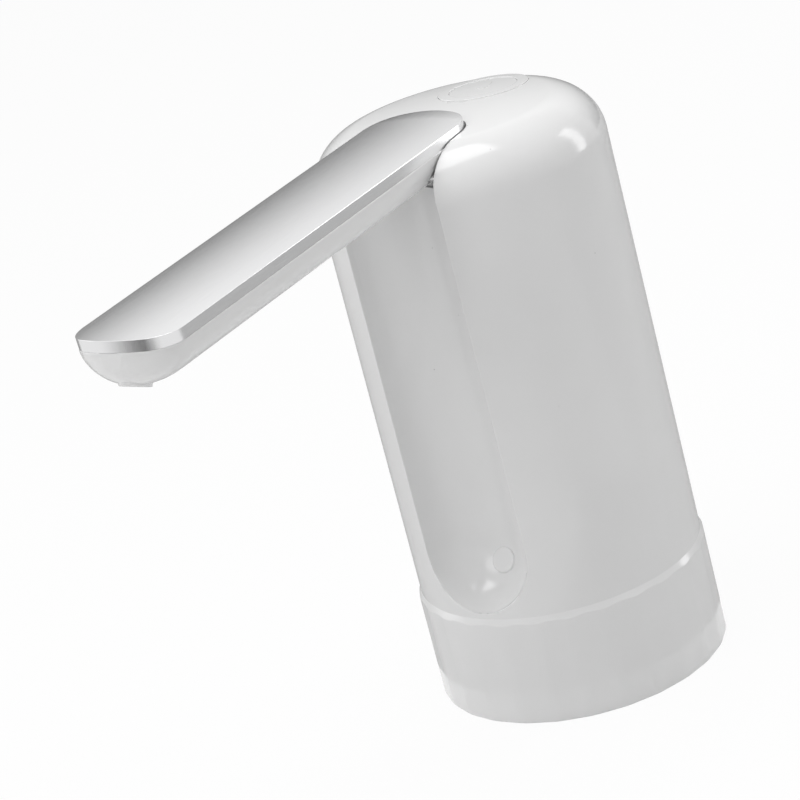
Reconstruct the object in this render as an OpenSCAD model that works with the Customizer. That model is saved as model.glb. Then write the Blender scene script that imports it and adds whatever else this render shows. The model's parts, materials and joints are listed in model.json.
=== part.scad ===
// Rechargeable pump for a large water jug: a domed body on a faceted neck skirt,
// with a spout that folds down into a groove in the front of the body.
// Millimetres, +Z up, origin on the body axis at the underside of the skirt, spout towards -Y.

/* [Body] */
// Radius of the body's straight side
body_r = 35.3; // [34.8:0.1:35.8]
// Height of the dome's highest point
body_h = 144.75; // [143:0.25:147]
// Radius of the shallow crown on top
crown_r = 278; // [220:1:400]
// Radius that joins the crown to the side
edge_r = 12.4; // [11.5:0.1:13]
// Wall thickness of the body
wall = 2.2; // [1.8:0.1:2.4]

/* [Neck skirt] */
// How far the skirt's corners stand out from the body
skirt_proud = 0.85; // [0.6:0.05:2]
// Height of the skirt
skirt_h = 28; // [27:0.5:29]
// Number of facets round the skirt
skirt_facets = 26; // [18:1:36]
// Height of the chamfer under the body
skirt_chamfer = 1.9; // [1.2:0.1:2.5]
// Least thickness of the skirt round the sleeve
skirt_t = 3.7; // [3.3:0.1:4.2]
// Thickness of the deck between socket and body
deck_t = 4; // [3.5:0.5:5]
// Bore of the rubber sleeve, for a 55 mm jug neck
neck_r = 27.75; // [27.5:0.05:28]
// Thickness of the rubber sleeve
seal_t = 4.43; // [4:0.01:4.5]
// Thickness of the sleeve above its gripping land
seal_lip = 3.2; // [2.5:0.1:3.4]
// Height of the sleeve's gripping land
neck_land = 11; // [9:0.5:12]

/* [Groove] */
// Gap between the folded spout and the groove
groove_gap = 0.84; // [0.8:0.02:1.2]
// Distance of the groove's centre line behind the body's side
groove_inset = 0.6; // [0.3:0.05:1]
// Height of the groove's lower end above the skirt
groove_lift = 1.4; // [0.8:0.1:3]
// Radius of the round pad at the lower end
pad_r = 3.3; // [2.5:0.1:4]
// Height that the pad stands proud
pad_h = 0.7; // [0.4:0.05:0.9]

/* [Spout] */
// Width of the spout
spout_w = 27.32; // [26:0.1:27.6]
// Distance of the folded tip above the groove's lower end
tip_clear = 3.28; // [3.2:0.02:6]
// Distance from the hinge to the tail
spout_tail = 20.45; // [19:0.05:21]
// Radius of the shallow arc across each end
end_r = 23; // [20:0.5:30]
// Radius of the four corners seen from above
corner_r = 8.5; // [7:0.1:9.5]
// Height of the metal cover's edge
cover_h = 2.72; // [2.2:0.02:3.2]
// Rise of the cover's crown above its edges
cover_sag = 1; // [0.6:0.05:1.4]
// Thickness of the cover's rim
cover_t = 1; // [0.8:0.1:1.4]
// Depth of the moulded shell below the cover
shell_depth = 9.5; // [9:0.1:10]
// Wall thickness of the moulded shell
shell_t = 1.4; // [1.1:0.1:1.6]
// Length over which the shell curves up to the tip
bow_len = 12.5; // [11:0.5:18]
// Fullness of that curve, 2 is an ellipse
bow_power = 2.8; // [2.2:0.1:3.2]
// Distance of the nozzle behind the tip
nozzle_back = 6.5; // [6:0.1:8]
// Outer radius of the nozzle
nozzle_r = 3.2; // [2.9:0.1:3.3]
// Gap between the spout and the slot round it
slot_gap = 0.7; // [0.6:0.05:0.9]

/* [Hinge] */
// How far the folded cover's edges lie behind the body's side
cover_sink = 0.5; // [0.3:0.05:0.8]
// Depth of the hinge below the dome's top
hinge_depth = 7.05; // [6.8:0.05:7.4]
// Height of the cover's edge above the hinge
hinge_drop = 7.55; // [7.4:0.05:7.7]
// Droop of the opened spout, so that it drains
droop = 1.95; // [1.5:0.05:2.5]
// Radius of the axle in the knuckle
axle_r = 2.6; // [2.4:0.1:2.8]
// Radius of the axle's ends
journal_r = 1.2; // [1:0.1:1.3]
// Half width of the knuckle
knuckle_w = 6; // [5.6:0.1:6]
// Radius of the knuckle
knuckle_r = 5.2; // [4.9:0.1:5.4]

/* [Button] */
// Distance of the button behind the axis
button_y = 15.5; // [15:0.1:16]
// Radius of the button
button_r = 8.25; // [7.5:0.05:8.4]
// Outer radius of the ring round it
bezel_r = 11; // [10.6:0.1:11.4]
// Travel of the button
button_travel = 0.6; // [0.4:0.05:0.8]

/* [Drive] */
// Radius of the battery cell
cell_r = 9.2; // [9:0.05:9.3]
// Length of the battery cell
cell_len = 65; // [60:0.5:70]
// Radius of the motor
motor_r = 12.2; // [11.5:0.1:12.2]
// Length of the motor's can
motor_len = 31; // [28:0.5:34]
// Teeth on each pump gear
gear_teeth = 12; // [10:2:14]
// Distance between the two gear centres
gear_gap = 9; // [8.8:0.1:9.2]
// Height of the pump gears
gear_h = 8.6; // [7:0.1:9]
// Outer radius of the suction nipple
nipple_r = 4; // [3.5:0.1:4.5]

/* [Clearances] */
// Radial clearance of turning and sliding fits
run_gap = 0.05; // [0.03:0.01:0.08]
// Clearance of pieces that are pushed together and stay
seat_gap = 0.1; // [0.05:0.01:0.15]
// Clearance of screws in their holes and of other loose fits
loose_gap = 0.4; // [0.3:0.05:0.5]

/* [Hidden] */
$fn = 72;
eps = 0.01;
far = 200;
white = "whitesmoke";
metal = "silver";
dark = "dimgray";
rubber = "lightgray";

// Dome: the joining arc is tangent to the crown and to the side
edge_x = body_r - edge_r;
crown_z = body_h - crown_r;
edge_z = crown_z + sqrt(pow(crown_r - edge_r, 2) - edge_x * edge_x);
edge_slope = edge_x / (edge_z - crown_z);
inner_r = body_r - wall;

// Socket for the sleeve, and the skirt: proud of the body and wide enough for the sleeve
socket_r = neck_r + seal_t;
skirt_r = max(body_r + skirt_proud, (socket_r + skirt_t) / cos(180 / skirt_facets));

// Groove: just wider than the spout, its lower end just above the skirt
groove_r = spout_w / 2 + groove_gap;
groove_y = body_r - groove_inset;
groove_bottom = skirt_h + groove_lift;
groove_z = groove_bottom + groove_r;

// Hinge: the folded cover lies level with the body's side
hinge_y = body_r - cover_sink - hinge_drop;
hinge_z = body_h - hinge_depth;

// Decks, from the bottom up
deck_top = skirt_h - 1;
deck_z = deck_top - deck_t;
plate_t = 2.4;
plate_top = deck_top + plate_t;
plate_r = inner_r - 0.3;
collar_r = nipple_r + 0.5;
flange_r = 8;
flange_t = 2;
spigot_len = 7.5;
sleeve_t = 2;
nipple_z = neck_land + 2.2;

// Screw bosses that hold the skirt, the plate and the housing together
boss_r = 3.4;
boss_ring = inner_r - boss_r + 0.3;
boss_h = 15;
boss_angles = [90, 210, 330];
skirt_screw_r = 1.2;
skirt_head_r = 2.8;
skirt_head_h = 1.8;
skirt_screw_len = 13;
pilot_r = 1.25;

// Spout outline: each end is a shallow arc with a tangent arc at each corner
spout_half = spout_w / 2;
spout_reach = hinge_z - groove_bottom - tip_clear;
corner_x = spout_half - corner_r;
corner_y = sqrt(pow(end_r - corner_r, 2) - corner_x * corner_x);
corner_back = end_r - corner_y;
arc_angle = atan2(corner_x, corner_y);
cover_crown_r = (spout_half * spout_half + cover_sag * cover_sag) / (2 * cover_sag);
cover_plate = 0.6;
cover_low = hinge_drop - cover_h;
shell_start = journal_r + 0.4;
nozzle_y = spout_reach - nozzle_back;
nozzle_z = -3.4;
nozzle_h = 7;
nozzle_bore = 2.2;
shell_stations = 20;
shell_sides = 20;
tip_flat = 0.15;

// Slot in the dome and the cradle that closes it below
slot_z = hinge_z - 5;
slot_wall_z = slot_z - 1.7;
cradle_r = 7.2;
cradle_t = 2;
cradle_z = slot_z + 0.6;
floor_z = hinge_z + 1.7;
ear_r = 3.6;
ear_x = spout_half + slot_gap;
ear_end = ear_x + 2;

// Water way through the hinge
elbow_in = knuckle_w + 0.4;
elbow_out = elbow_in + 6.2;
elbow_x = (elbow_in + elbow_out) / 2;
elbow_r = 4.6;
leg_r = 3;
leg_angle = 30;
leg_len = 17;
leg_bore = 1.9;
ring_r = 0.6;
ring_x = 3.8;
ring_mid = axle_r + run_gap + ring_r;
tube_z = 1;
tube_r = 2.8;
tube_bore = 2;
tongue_len = 16;
tongue_half = 5;
tongue_z = -1.6;
tail_t = 2.4;
barb_len = 7;
water_r = 1.3;
axle_bore = 1.7;
port_r = 1.4;
chamber_r = 3.4;
leg_clear = 5.9;

// Pump and motor stack
motor_x = -5.5;
motor_y = gear_gap / 2;
inlet_x = 0;
pump_post_h = 16.6;
inlet_len = pump_post_h - flange_t - spigot_len + plate_t - 1;
pump_post_r = 2.8;
pump_z = plate_top + pump_post_h;
pump_corner = 3.5;
pump_half_x = 12;
pump_front = -14.5;
pump_back = 19;
cover_plate_t = 2.4;
gasket_t = 0.6;
gear_z = pump_z + cover_plate_t + gasket_t;
gear_play = 0.3;
cavity_h = gear_h + 2 * gear_play;
pump_top = gear_z + cavity_h + 3;
gear_module = gear_gap / gear_teeth;
tip_r = gear_gap / 2 + 0.6 * gear_module;
root_r = gear_gap / 2 - 1.2 * gear_module;
gear_backlash = 0.08;
pump_screw_xy = [[-9.5, -12], [9.5, -12], [-9.5, 16.5], [9.5, 16.5]];
pump_screw_r = 1.2;
pump_head_r = 2;
pump_head_h = 1.6;
pump_screw_grip = 8;
shaft_r = 1;
pin_fit = 0.02;
pin_seat = 1.2;
seal_r = 3;
seal_h = 1;
motor_boss_r = 4;
motor_screw_x = 8;
motor_screw_r = 1.2;
motor_head_r = 2;
motor_head_h = 1.8;
motor_head_z = pump_top - 5;
motor_screw_grip = 2.2;
can_t = 1;
can_floor = 1.2;
motor_boss_h = 3;
magnet_t = 2;
magnet_end = 3;
magnet_len = motor_len - 8;
magnet_gap = 7;
end_cap_t = 1.6;
end_boss_r = 4;
end_boss_h = 3.5;
lug_x = 8;
lug_w = 2.4;
lug_t = 0.6;
lug_h = 5;
air_gap = 0.7;
rotor_end = 5;
rotor_len = motor_len - 12;
rotor_hub_r = 4.5;
rotor_slot = 2;
commutator_r = 2.6;
commutator_h = 4;
channel_r = 1.6;
outlet_len = 3.4;
motor_top = pump_top + motor_len;
outlet_z = gear_z + cavity_h / 2;
spigot_r = 3;
spigot_bore = 2.2;
hose_r = 4.2;
hose_x = inner_r - hose_r - 1.9;
hose_start = motor_x - pump_half_x - 0.7;

// Battery, boards and button stack
holder_t = 1.5;
cell_ring = inner_r - cell_r - seat_gap - holder_t - 1.95;
// The cell lies along the wall at cell_side, or further forward where the motor needs the room
cell_side = 28;
cell_clear = motor_r + cell_r + 0.8;
motor_off = norm([motor_x, motor_y]);
cell_turn = acos((pow(cell_ring, 2) + pow(motor_off, 2) - pow(cell_clear, 2)) / (2 * cell_ring * motor_off));
cell_angle = min(cell_side, atan2(motor_y, motor_x) - cell_turn);
holder_base = 1.8;
cell_play = 0.2;
holder_top = 2;
holder_h = holder_base + cell_len + cell_play + holder_top;
holder_open = 5;
terminal_r = 3.2;
terminal_h = 1.5;
board_y = inner_r - 8.5;
board_t = 1.6;
board_half = 13;
board_z = plate_top + 4.6;
board_len = 58;
upright_w = 3;
upright_h = 43;
// Parts on the board: place across, place up, width, height, thickness
board_chips = [[0, 8, 7, 7, 1.2], [6, 24, 5, 4, 1.4], [-6, 26, 4, 5, 1.4], [7, 44, 6, 8, 2.4]];
// Round capacitor on the board
capacitor_at = [-7, 46];
capacitor_r = 3;
capacitor_h = 3.2;
usb_z = board_z + 28;
usb_w = 8.94;
usb_h = 3.2;
usb_face = body_r - 0.9;
usb_gap = 0.25;
usb_t = 0.3;
usb_back = 2;
usb_tongue_w = 6;
usb_tongue_t = 0.7;
bezel_z = body_h - 2.75;
button_boss_z = bezel_z - 3.2;
bezel_proud = 0.3;
bezel_wall = 1.6;
button_gap = 0.2;
button_stem_r = 2;
button_flange = 1.2;
button_flange_z = bezel_z - button_gap - button_flange;
button_flange_r = button_r + 1.05;
switch_z = body_h - 13.35;
switch_r = 12.4;
switch_h = 3.5;
switch_w = 6;
switch_floor = 0.5;
board_screw_r = 0.75;
board_pilot_r = 0.8;
board_head_r = 1.8;
board_head_h = 1.4;
board_screw_len = 5.4;
post_x = 10.2;
post_r = 2;
plunger_top = switch_z + 5.8;
plunger_r = 1.7;

// Pad in the groove, on a stem through the wall
pad_tilt = 28;
pad_stem_r = 1.5;
pad_seat = sqrt(groove_r * groove_r - pad_r * pad_r) - 0.05;

// Delivery hose: from the pump outlet, up beside the motor and forward to the elbow's leg
hose_route = [
  [hose_start, 0, outlet_z], [hose_start - 3.3, 0, outlet_z], [2.4 - hose_x, 0, outlet_z + 1.6],
  [0.4 - hose_x, 0, outlet_z + 5], [-hose_x, 0, outlet_z + 11], [-hose_x, 0, 76], [-hose_x, 0, 92],
  [0.4 - hose_x, 0.3, 103], [2.4 - hose_x, 1.5, 111],
  [-20.4, 3, 116.6], [-15, 2.6, 119.6], [-11, -0.6, 121.8], leg_point(25), leg_point(21),
  leg_point(leg_len), leg_point(11)
];

// Point on the centre line of the elbow's leg, at a distance from the hinge
function leg_point(d) = [-elbow_x, -hinge_y + d * cos(leg_angle), hinge_z - d * sin(leg_angle)];

function unit(v) = v / norm(v);
function tangent(path, i) = unit(path[min(i + 1, len(path) - 1)] - path[max(i - 1, 0)]);
// Normals carried along a path without twist
function carried(path, i) =
  i == 0 ? unit(cross(tangent(path, 0), [0, 1, 0])) :
  let (n = carried(path, i - 1), t = tangent(path, i)) unit(n - (n * t) * t);
function ring_points(path, i, r, sides) =
  let (t = tangent(path, i), n = carried(path, i), b = cross(t, n))
  [for (k = [0:sides - 1]) path[i] + r * (cos(360 * k / sides) * n + sin(360 * k / sides) * b)];
// Side faces between rings that follow each other, each ring a closed loop of points
function skin_faces(rings, sides, first) = [
  for (i = [0:rings - 2], k = [0:sides - 1]) let (
    a = first + i * sides + k, b = first + i * sides + (k + 1) % sides
  ) each [[a, b, b + sides], [a, b + sides, a + sides]]
];
function flipped(faces) = [for (f = faces) [f[2], f[1], f[0]]];

// Tube with a bore along a route of points
module tube_along(path, r_out, r_in, sides) {
  n = len(path);
  outer = [for (i = [0:n - 1]) each ring_points(path, i, r_out, sides)];
  inner = [for (i = [0:n - 1]) each ring_points(path, i, r_in, sides)];
  m = n * sides;
  last = (n - 1) * sides;
  ends = [
    for (k = [0:sides - 1]) let (j = (k + 1) % sides) each [
      [k, m + k, m + j], [k, m + j, j],
      [last + k, last + j, m + last + j], [last + k, m + last + j, m + last + k]
    ]
  ];
  walls = concat(flipped(skin_faces(n, sides, 0)), skin_faces(n, sides, m));
  polyhedron(concat(outer, inner), concat(walls, flipped(ends)));
}

// Half of the body's outline, moved out by grow
module body_profile(grow) {
  translate([0, skirt_h]) square([body_r + grow, edge_z - skirt_h]);
  intersection() {
    translate([edge_x, edge_z]) circle(edge_r + grow, $fn = 144);
    translate([0, edge_z]) square([2 * body_r, 2 * edge_r]);
  }
  intersection() {
    translate([0, crown_z]) circle(crown_r + grow, $fn = 1440);
    polygon([
      [0, edge_z - eps], [edge_x, edge_z - eps], [edge_x + edge_slope * 2 * edge_r, edge_z + 2 * edge_r],
      [0, edge_z + 2 * edge_r]
    ]);
  }
}

module body_solid(grow) {
  rotate_extrude($fn = 144) body_profile(grow);
}

// Groove in the front: a round channel with a ball end
module groove_solid(grow) {
  translate([0, -groove_y, groove_z]) {
    sphere(groove_r + grow);
    cylinder(r = groove_r + grow, h = far);
  }
}

function arc(centre, r, a0, a1, n) = [
  for (i = [0:n]) let (a = a0 + (a1 - a0) * i / n) centre + r * [cos(a), sin(a)]
];
// One end of the spout's outline, from the right side round to the left
function end_points(grow) = concat(
  arc([corner_x, corner_y], corner_r + grow, 0, 90 - arc_angle - 1, 8),
  arc([0, 0], end_r + grow, 90 - arc_angle, 90 + arc_angle, 8),
  arc([-corner_x, corner_y], corner_r + grow, 90 + arc_angle + 1, 180, 8)
);

// Spout seen from above, hinge at the origin and tip towards -Y
module spout_outline(grow) {
  polygon(concat(
    [for (p = end_points(grow)) p + [0, spout_tail - end_r]],
    [for (p = end_points(grow)) [0, end_r - spout_reach] - p]
  ));
}

module at_hinge() {
  translate([0, -hinge_y, hinge_z]) children();
}

// The spout's own frame: origin on the hinge, tip towards -Y, drooping a little
module spout_place() {
  at_hinge() rotate([droop, 0, 0]) children();
}

module along_x(r, x0, x1) {
  translate([x0, 0, 0]) rotate([0, 90, 0]) cylinder(r = r, h = x1 - x0);
}

module at_bosses() {
  for (a = boss_angles) rotate(a) translate([boss_ring, 0, 0]) children();
}

module screw(head_r, head_h, shank_r, length) {
  cylinder(r = head_r, h = head_h);
  translate([0, 0, -length]) cylinder(r = shank_r, h = length);
}

module main_housing() {
  color(white) difference() {
    union() {
      difference() {
        body_solid(0);
        body_solid(-wall);
        translate([0, 0, skirt_h - 1]) cylinder(r = inner_r, h = 2);
      }
      intersection() {
        body_solid(0);
        union() {
          groove_solid(wall);
          translate([0, -hinge_y, slot_wall_z]) linear_extrude(far) spout_outline(slot_gap + wall);
          at_hinge() along_x(ear_r, ear_x, ear_end + 1.2);
          at_hinge() along_x(ear_r, -ear_end - 1.2, -ear_x);
          translate([0, button_y, button_boss_z]) cylinder(r = bezel_r + bezel_wall, h = far);
          for (side = [-1, 1]) {
            translate([side * post_x, button_y, switch_z + board_t]) cylinder(r = post_r, h = far);
          }
          translate([0, 0, plate_top]) at_bosses() cylinder(r = boss_r, h = boss_h);
        }
      }
    }
    groove_solid(0);
    translate([0, -hinge_y, slot_z]) linear_extrude(far) spout_outline(slot_gap);
    translate([0, -hinge_y, slot_wall_z - 1]) linear_extrude(far) intersection() {
      spout_outline(slot_gap);
      translate([-far, hinge_y - groove_y + groove_r + wall]) square(2 * far);
    }
    at_hinge() along_x(journal_r + seat_gap / 2, -ear_end, ear_end);
    at_hinge() elbow_leg(leg_r + seat_gap, 0);
    translate([0, button_y, bezel_z]) cylinder(r = bezel_r + seat_gap / 2, h = far);
    translate([0, button_y, button_boss_z - 1]) cylinder(r = button_flange_r + 0.3, h = far);
    for (side = [-1, 1]) {
      translate([side * post_x, button_y, switch_z]) cylinder(r = board_pilot_r, h = board_screw_len + 0.6);
    }
    translate([0, 0, plate_top - 1]) at_bosses() cylinder(r = pilot_r, h = boss_h - 1);
    translate([0, 0, usb_z]) usb_shape(usb_gap, inner_r - wall, body_r + wall);
    pad_place() cylinder(r = pad_stem_r + seat_gap / 2, h = groove_r + wall + 1);
  }
}

// Rounded slot for the charging socket, drawn from y0 to y1
module usb_shape(grow, y0, y1) {
  r = usb_h / 2 + grow;
  x = usb_w / 2 - usb_h / 2;
  translate([-x, y0, -r]) cube([2 * x, y1 - y0, 2 * r]);
  for (side = [-1, 1]) {
    translate([side * x, y0, 0]) rotate([-90, 0, 0]) cylinder(r = r, h = y1 - y0);
  }
}

// Local +Z points from the centre of the groove's ball end to the middle of the pad
module pad_place() {
  translate([0, -groove_y, groove_z]) rotate([-90 - pad_tilt, 0, 0]) children();
}

module groove_pad() {
  color(white) pad_place() {
    translate([0, 0, groove_r - pad_h]) cylinder(r = pad_r, h = pad_seat - groove_r + pad_h);
    translate([0, 0, pad_seat]) cylinder(r = pad_stem_r, h = groove_r + wall + 0.4 - pad_seat);
  }
}

module base_skirt() {
  slope = skirt_chamfer / (skirt_r - body_r);
  color(white) difference() {
    intersection() {
      linear_extrude(skirt_h) polygon([
        for (i = [0:skirt_facets - 1]) skirt_r * [cos(360 * i / skirt_facets), sin(360 * i / skirt_facets)]
      ]);
      rotate_extrude() polygon([
        [0, -1], [skirt_r + 1, -1], [skirt_r + 1, skirt_h - skirt_chamfer - slope],
        [body_r, skirt_h], [0, skirt_h]
      ]);
    }
    translate([0, 0, -1]) cylinder(r = socket_r, h = deck_z + 1);
    translate([0, 0, deck_top]) cylinder(r = plate_r + 0.25, h = 2);
    cylinder(r = collar_r + seat_gap / 2, h = skirt_h);
    at_bosses() cylinder(r = skirt_screw_r + loose_gap, h = skirt_h);
    at_bosses() cylinder(r = skirt_head_r + 0.3, h = deck_z + skirt_head_h + 0.2);
  }
}

module neck_seal() {
  r_out = socket_r - seat_gap / 2;
  r_lip = socket_r - seal_lip;
  z_top = deck_z - 2 * seat_gap;
  color(rubber) rotate_extrude() polygon([
    [neck_r, 0], [r_out, 0], [r_out, z_top], [r_lip, z_top],
    [r_lip, neck_land + r_lip - neck_r], [neck_r, neck_land]
  ]);
}

module inlet_nipple() {
  color(white) difference() {
    union() {
      translate([0, 0, nipple_z]) cylinder(r = nipple_r, h = deck_z - nipple_z);
      translate([0, 0, deck_z]) cylinder(r = collar_r, h = deck_t);
      translate([0, 0, deck_top]) cylinder(r = flange_r, h = flange_t);
      translate([0, 0, deck_top]) cylinder(r = spigot_r, h = flange_t + spigot_len);
    }
    translate([0, 0, nipple_z - 1]) cylinder(r = spigot_bore, h = far);
  }
}

module suction_sleeve() {
  sleeve_z = deck_top + flange_t + 1;
  color(rubber) difference() {
    translate([0, 0, sleeve_z]) cylinder(r = spigot_r + sleeve_t, h = pump_z - sleeve_t - sleeve_z);
    cylinder(r = spigot_r + run_gap, h = far);
  }
}

module chassis() {
  color(white) difference() {
    union() {
      translate([0, 0, deck_top]) cylinder(r = plate_r, h = plate_t);
      at_pump_screws() translate([0, 0, deck_top]) cylinder(r = pump_post_r, h = pump_z - deck_top);
      for (side = [-1, 1]) {
        translate([side * (board_half + 0.7) - upright_w / 2, board_y - 2, deck_top]) {
          cube([upright_w, board_t + 4, upright_h]);
        }
      }
    }
    groove_solid(wall + 0.6);
    cylinder(r = flange_r + 0.6, h = far);
    at_bosses() cylinder(r = skirt_screw_r + loose_gap, h = far);
    at_pump_screws() translate([0, 0, plate_top + 4]) cylinder(r = pump_screw_r + run_gap, h = far);
    translate([-board_half - seat_gap, board_y - seat_gap, board_z]) {
      cube([2 * (board_half + seat_gap), board_t + 2 * seat_gap, board_len]);
    }
  }
}

module skirt_screws() {
  color(metal) at_bosses() translate([0, 0, deck_z + skirt_head_h + 0.2]) rotate([180, 0, 0]) {
    screw(skirt_head_r, skirt_head_h, skirt_screw_r, skirt_screw_len);
  }
}

module at_cell() {
  rotate(cell_angle) translate([cell_ring, 0, plate_top]) rotate(-cell_angle) children();
}

module battery_cell() {
  color("seagreen") at_cell() translate([0, 0, holder_base]) {
    cylinder(r = cell_r, h = cell_len - terminal_h);
    cylinder(r = terminal_r, h = cell_len);
  }
}

// Trough open on the motor's side, with a floor and a top stop
module battery_holder() {
  r_in = cell_r + seat_gap;
  r_out = r_in + holder_t;
  color(dark) at_cell() difference() {
    cylinder(r = r_out, h = holder_h);
    translate([0, 0, holder_base]) cylinder(r = r_in, h = cell_len + cell_play);
    translate([-2 * r_out - holder_open, -r_out, holder_base]) {
      cube([2 * r_out, 2 * r_out, cell_len + cell_play]);
    }
  }
}

module main_board() {
  color("darkgreen") {
    translate([-board_half, board_y, board_z]) cube([2 * board_half, board_t, board_len]);
    for (chip = board_chips) {
      translate([chip[0] - chip[2] / 2, board_y - chip[4], board_z + chip[1]]) {
        cube([chip[2], chip[4] + eps, chip[3]]);
      }
    }
    translate([capacitor_at[0], board_y + eps, board_z + capacitor_at[1]]) rotate([90, 0, 0]) {
      cylinder(r = capacitor_r, h = capacitor_h);
    }
  }
}

module usb_socket() {
  y0 = board_y + board_t;
  color(metal) translate([0, 0, usb_z]) {
    difference() {
      usb_shape(0, y0, usb_face);
      usb_shape(-usb_t, y0 + usb_back, usb_face + 1);
    }
    translate([-usb_tongue_w / 2, y0 + usb_back - eps, -usb_tongue_t / 2]) {
      cube([usb_tongue_w, usb_face - y0 - usb_back - 1, usb_tongue_t]);
    }
  }
}

module switch_board() {
  color("darkgreen") translate([0, button_y, switch_z]) difference() {
    cylinder(r = switch_r, h = board_t);
    for (side = [-1, 1]) {
      translate([side * post_x, 0, -1]) cylinder(r = board_screw_r + loose_gap, h = board_t + 2);
    }
  }
}

module tact_switch() {
  color(dark) translate([0, button_y, switch_z + board_t]) difference() {
    translate([-switch_w / 2, -switch_w / 2, 0]) cube([switch_w, switch_w, switch_h]);
    translate([0, 0, switch_floor]) cylinder(r = plunger_r + run_gap, h = far);
  }
}

module board_screws() {
  color(metal) for (side = [-1, 1]) {
    translate([side * post_x, button_y, switch_z]) rotate([180, 0, 0]) {
      screw(board_head_r, board_head_h, board_screw_r, board_screw_len);
    }
  }
}

module button_bezel() {
  color(white) intersection() {
    body_solid(bezel_proud);
    translate([0, button_y, bezel_z]) difference() {
      cylinder(r = bezel_r, h = far);
      translate([0, 0, -1]) cylinder(r = button_r + button_gap, h = far);
    }
  }
}

module power_button() {
  color(white) {
    intersection() {
      body_solid(0);
      translate([0, button_y, button_flange_z]) cylinder(r = button_r, h = far);
    }
    translate([0, button_y, button_flange_z]) cylinder(r = button_flange_r, h = button_flange);
    translate([0, button_y, plunger_top]) cylinder(r = button_stem_r, h = button_flange_z - plunger_top);
  }
}

module switch_plunger() {
  z0 = switch_z + board_t + switch_floor + button_travel + button_gap;
  color(dark) translate([0, button_y, z0]) cylinder(r = plunger_r, h = plunger_top - z0);
}

module at_pump_screws() {
  for (p = pump_screw_xy) translate([motor_x + p[0], p[1], 0]) children();
}

module at_motor() {
  translate([motor_x, motor_y, 0]) children();
}

module at_idler() {
  translate([motor_x, -motor_y, 0]) children();
}

// Pump seen from above, with round corners
module pump_outline() {
  r = pump_corner;
  x0 = motor_x - pump_half_x;
  x1 = motor_x + pump_half_x;
  translate([x0 + r, pump_front]) square([x1 - x0 - 2 * r, pump_back - pump_front]);
  translate([x0, pump_front + r]) square([x1 - x0, pump_back - pump_front - 2 * r]);
  for (x = [x0 + r, x1 - r], y = [pump_front + r, pump_back - r]) translate([x, y]) circle(r);
}

module pump_cavity(z, h) {
  at_motor() translate([0, 0, z]) cylinder(r = tip_r + 2 * run_gap, h = h);
  at_idler() translate([0, 0, z]) cylinder(r = tip_r + 2 * run_gap, h = h);
}

module pump_cover() {
  color(dark) difference() {
    union() {
      translate([0, 0, pump_z]) linear_extrude(cover_plate_t) pump_outline();
      translate([inlet_x, 0, pump_z - inlet_len]) cylinder(r = spigot_r, h = inlet_len + eps);
    }
    translate([inlet_x, 0, 0]) cylinder(r = channel_r, h = far);
    at_pump_screws() cylinder(r = pump_screw_r + loose_gap / 2, h = far);
    at_idler() translate([0, 0, pump_z + cover_plate_t - pin_seat]) cylinder(r = shaft_r + pin_fit, h = far);
  }
}

module pump_gasket() {
  color("black") difference() {
    translate([0, 0, gear_z - gasket_t]) linear_extrude(gasket_t) pump_outline();
    pump_cavity(0, far);
    translate([inlet_x, 0, 0]) cylinder(r = channel_r, h = far);
    at_pump_screws() cylinder(r = pump_screw_r + loose_gap / 2, h = far);
  }
}

module pump_housing() {
  outlet_x = motor_x - pump_half_x;
  cavity_top = gear_z + cavity_h;
  color(dark) difference() {
    union() {
      translate([0, 0, gear_z]) linear_extrude(pump_top - gear_z) pump_outline();
      translate([0, 0, outlet_z]) along_x(spigot_r, outlet_x - outlet_len, outlet_x + 1);
    }
    pump_cavity(gear_z - 1, cavity_h + 1);
    translate([inlet_x, 0, gear_z - 1]) cylinder(r = channel_r, h = outlet_z - gear_z + 1);
    translate([0, 0, outlet_z]) along_x(channel_r, outlet_x - outlet_len - 1, inlet_x);
    at_motor() {
      cylinder(r = shaft_r + 0.5, h = far);
      translate([0, 0, cavity_top - eps]) cylinder(r = seal_r + run_gap, h = seal_h + eps);
      translate([0, 0, cavity_top + seal_h]) cylinder(r = motor_boss_r + run_gap, h = far);
      for (side = [-1, 1]) translate([side * motor_screw_x, 0, 0]) {
        cylinder(r = motor_screw_r + loose_gap / 2, h = far);
        cylinder(r = motor_head_r + loose_gap / 2, h = motor_head_z);
      }
    }
    at_idler() cylinder(r = shaft_r + pin_fit, h = cavity_top + pin_seat);
    at_pump_screws() cylinder(r = pump_screw_r + loose_gap / 2, h = far);
  }
}

module pump_screws() {
  color(metal) at_pump_screws() translate([0, 0, pump_top]) {
    screw(pump_head_r, pump_head_h, pump_screw_r, pump_top - pump_z + pump_screw_grip);
  }
}

module motor_screws() {
  color(metal) at_motor() for (side = [-1, 1]) {
    translate([side * motor_screw_x, 0, motor_head_z]) rotate([180, 0, 0]) {
      screw(motor_head_r, motor_head_h, motor_screw_r, pump_top - motor_head_z + motor_screw_grip);
    }
  }
}

module shaft_seal() {
  color("black") at_motor() translate([0, 0, gear_z + cavity_h]) difference() {
    cylinder(r = seal_r, h = seal_h);
    translate([0, 0, -1]) cylinder(r = shaft_r + run_gap, h = 5);
  }
}

module idler_pin() {
  color(metal) at_idler() translate([0, 0, gear_z - gasket_t - pin_seat]) {
    cylinder(r = shaft_r, h = gasket_t + cavity_h + 2 * pin_seat);
  }
}

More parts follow.
